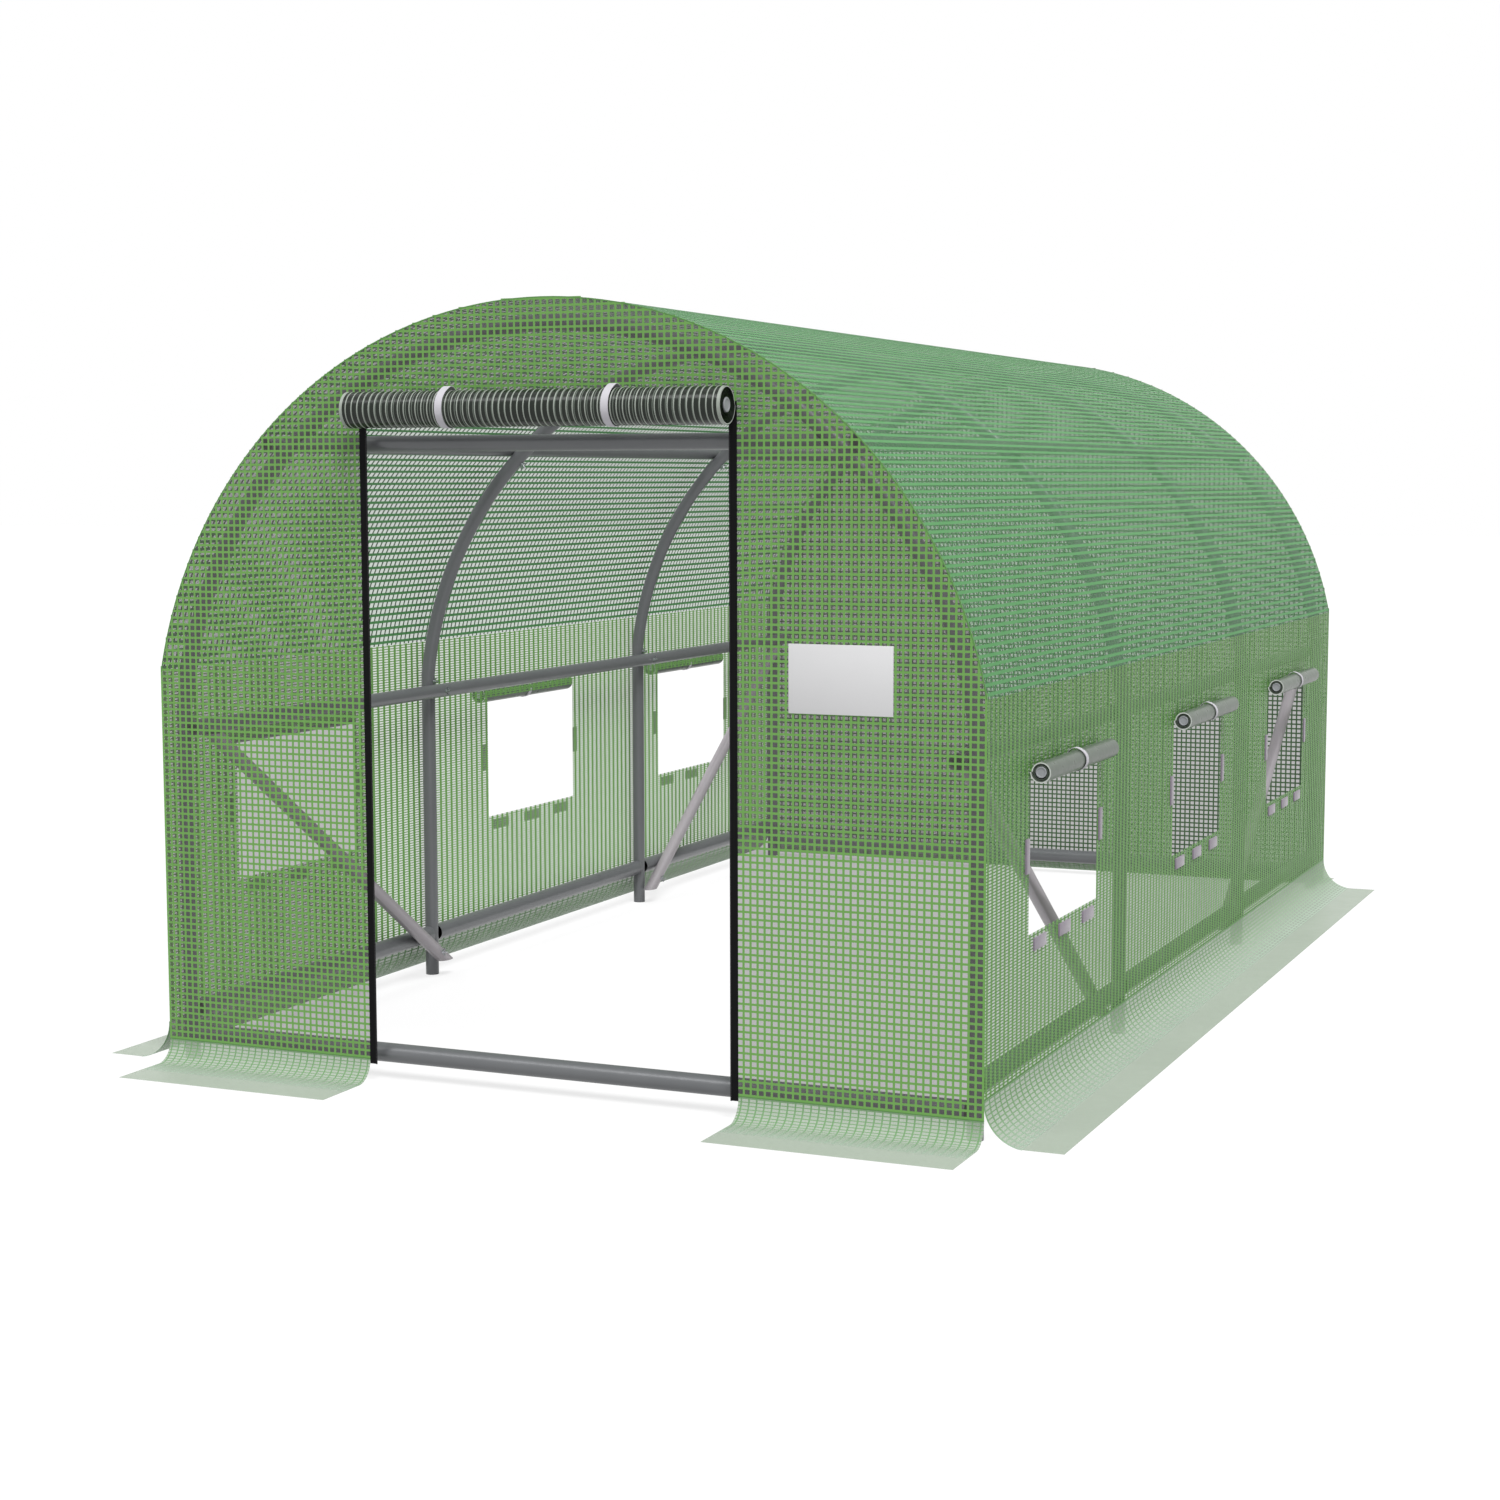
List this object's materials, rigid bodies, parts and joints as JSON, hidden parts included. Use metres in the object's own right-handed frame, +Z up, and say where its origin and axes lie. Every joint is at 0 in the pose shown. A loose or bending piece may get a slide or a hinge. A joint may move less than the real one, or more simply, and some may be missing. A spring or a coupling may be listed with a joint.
{
  "type": "polytunnel",
  "caption": "Walk-in tunnel greenhouse: tube hoops under a green grid film cover, roll-up zip door and roll-up side windows.",
  "frame": {"origin": "on the ground, below the middle of the tunnel", "axes": "+Z up, the tunnel runs along Y, the door faces -Y"},
  "size_m": [2.69, 4.59, 2],
  "materials": {
    "frame_tube": "powder-coated grey steel",
    "cover_film": "translucent green film with a grid of threads",
    "rolled_film": "rolled grey-green film",
    "tie_webbing": "white webbing",
    "core_plastic": "light grey plastic tube",
    "zip_tape": "black zip tape with teeth",
    "zip_slider_metal": "black enamelled metal",
    "patch_plastic": "blank white patch",
    "hook_and_loop": "grey hook-and-loop tape",
    "fastener_steel": "zinc-plated bolts"
  },
  "bodies": {
    "root": {"hoop_1_left_leg": "frame_tube", "hoop_1_right_leg": "frame_tube", "hoop_1_arch": "frame_tube", "hoop_2_left_leg": "frame_tube", "hoop_2_right_leg": "frame_tube", "hoop_2_arch": "frame_tube", "hoop_3_left_leg": "frame_tube", "hoop_3_right_leg": "frame_tube", "hoop_3_arch": "frame_tube", "hoop_4_left_leg": "frame_tube", "hoop_4_right_leg": "frame_tube", "hoop_4_arch": "frame_tube", "roof_purlin_left": "frame_tube", "eave_purlin_left": "frame_tube", "side_rail_left_1": "frame_tube", "side_rail_left_2": "frame_tube", "side_rail_left_3": "frame_tube", "brace_front_left": "frame_tube", "brace_rear_left": "frame_tube", "roof_purlin_right": "frame_tube", "eave_purlin_right": "frame_tube", "side_rail_right_1": "frame_tube", "side_rail_right_2": "frame_tube", "side_rail_right_3": "frame_tube", "brace_front_right": "frame_tube", "brace_rear_right": "frame_tube", "front_sill": "frame_tube", "rear_sill": "frame_tube", "door_header": "frame_tube", "roof_sheet": "cover_film", "wall_sheet_left": "cover_film", "wall_sheet_right": "cover_film", "front_sheet": "cover_film", "rear_sheet": "cover_film", "skirt_left": "cover_film", "skirt_right": "cover_film", "skirt_front_left": "cover_film", "skirt_front_right": "cover_film", "skirt_rear": "cover_film", "door_curtain": "cover_film", "zip_left": "zip_tape", "zip_right": "zip_tape"},
    "door_ties": {"door_tie_left": "tie_webbing", "door_tie_right": "tie_webbing"},
    "door_roll": {"door_roll": "rolled_film", "door_core": "core_plastic"},
    "zip_slider_left": {"zip_slider_left": "zip_slider_metal"},
    "zip_slider_right": {"zip_slider_right": "zip_slider_metal"},
    "window_tie_left_1": {"window_tie_left_1": "tie_webbing"},
    "window_roll_left_1": {"window_roll_left_1": "rolled_film"},
    "window_tie_left_2": {"window_tie_left_2": "tie_webbing"},
    "window_roll_left_2": {"window_roll_left_2": "rolled_film"},
    "window_tie_left_3": {"window_tie_left_3": "tie_webbing"},
    "window_roll_left_3": {"window_roll_left_3": "rolled_film"},
    "window_tie_right_1": {"window_tie_right_1": "tie_webbing"},
    "window_roll_right_1": {"window_roll_right_1": "rolled_film"},
    "window_tie_right_2": {"window_tie_right_2": "tie_webbing"},
    "window_roll_right_2": {"window_roll_right_2": "rolled_film"},
    "window_tie_right_3": {"window_tie_right_3": "tie_webbing"},
    "window_roll_right_3": {"window_roll_right_3": "rolled_film"}
  },
  "joints": [
    {"name": "door_lower", "type": "slide", "parent": "root", "child": "door_ties", "axis": [0, 0, 1], "range_m": [-1.6, 0]},
    {"name": "door_unroll", "type": "hinge", "parent": "door_ties", "child": "door_roll", "pos_m": [0, -2.1205, 1.73], "axis": [1, 0, 0], "range_deg": [0, 1951.5]},
    {"name": "zip_left_slide", "type": "slide", "parent": "root", "child": "zip_slider_left", "axis": [0, 0, 1], "range_m": [-1.65, 0]},
    {"name": "zip_right_slide", "type": "slide", "parent": "root", "child": "zip_slider_right", "axis": [0, 0, 1], "range_m": [-1.65, 0]},
    {"name": "window_left_1_lower", "type": "slide", "parent": "root", "child": "window_tie_left_1", "axis": [0, 0, 1], "range_m": [-0.39, 0]},
    {"name": "window_left_1_unroll", "type": "hinge", "parent": "window_tie_left_1", "child": "window_roll_left_1", "pos_m": [-1.1795, -1.43, 0.848], "axis": [0, 1, 0], "range_deg": [-813.6, 0]},
    {"name": "window_left_2_lower", "type": "slide", "parent": "root", "child": "window_tie_left_2", "axis": [0, 0, 1], "range_m": [-0.39, 0]},
    {"name": "window_left_2_unroll", "type": "hinge", "parent": "window_tie_left_2", "child": "window_roll_left_2", "pos_m": [-1.1795, -0.005, 0.848], "axis": [0, 1, 0], "range_deg": [-813.6, 0]},
    {"name": "window_left_3_lower", "type": "slide", "parent": "root", "child": "window_tie_left_3", "axis": [0, 0, 1], "range_m": [-0.39, 0]},
    {"name": "window_left_3_unroll", "type": "hinge", "parent": "window_tie_left_3", "child": "window_roll_left_3", "pos_m": [-1.1795, 1.3, 0.848], "axis": [0, 1, 0], "range_deg": [-813.6, 0]},
    {"name": "window_right_1_lower", "type": "slide", "parent": "root", "child": "window_tie_right_1", "axis": [0, 0, 1], "range_m": [-0.39, 0]},
    {"name": "window_right_1_unroll", "type": "hinge", "parent": "window_tie_right_1", "child": "window_roll_right_1", "pos_m": [1.1795, -1.43, 0.848], "axis": [0, 1, 0], "range_deg": [0, 813.6]},
    {"name": "window_right_2_lower", "type": "slide", "parent": "root", "child": "window_tie_right_2", "axis": [0, 0, 1], "range_m": [-0.39, 0]},
    {"name": "window_right_2_unroll", "type": "hinge", "parent": "window_tie_right_2", "child": "window_roll_right_2", "pos_m": [1.1795, -0.005, 0.848], "axis": [0, 1, 0], "range_deg": [0, 813.6]},
    {"name": "window_right_3_lower", "type": "slide", "parent": "root", "child": "window_tie_right_3", "axis": [0, 0, 1], "range_m": [-0.39, 0]},
    {"name": "window_right_3_unroll", "type": "hinge", "parent": "window_tie_right_3", "child": "window_roll_right_3", "pos_m": [1.1795, 1.3, 0.848], "axis": [0, 1, 0], "range_deg": [0, 813.6]}
  ],
  "couplings": [
    {"joint": "door_unroll", "follows": "door_lower", "rad_per_m": -21.277},
    {"joint": "window_left_1_unroll", "follows": "window_left_1_lower", "rad_per_m": 36.364},
    {"joint": "window_left_2_unroll", "follows": "window_left_2_lower", "rad_per_m": 36.364},
    {"joint": "window_left_3_unroll", "follows": "window_left_3_lower", "rad_per_m": 36.364},
    {"joint": "window_right_1_unroll", "follows": "window_right_1_lower", "rad_per_m": -36.364},
    {"joint": "window_right_2_unroll", "follows": "window_right_2_lower", "rad_per_m": -36.364},
    {"joint": "window_right_3_unroll", "follows": "window_right_3_lower", "rad_per_m": -36.364}
  ]
}
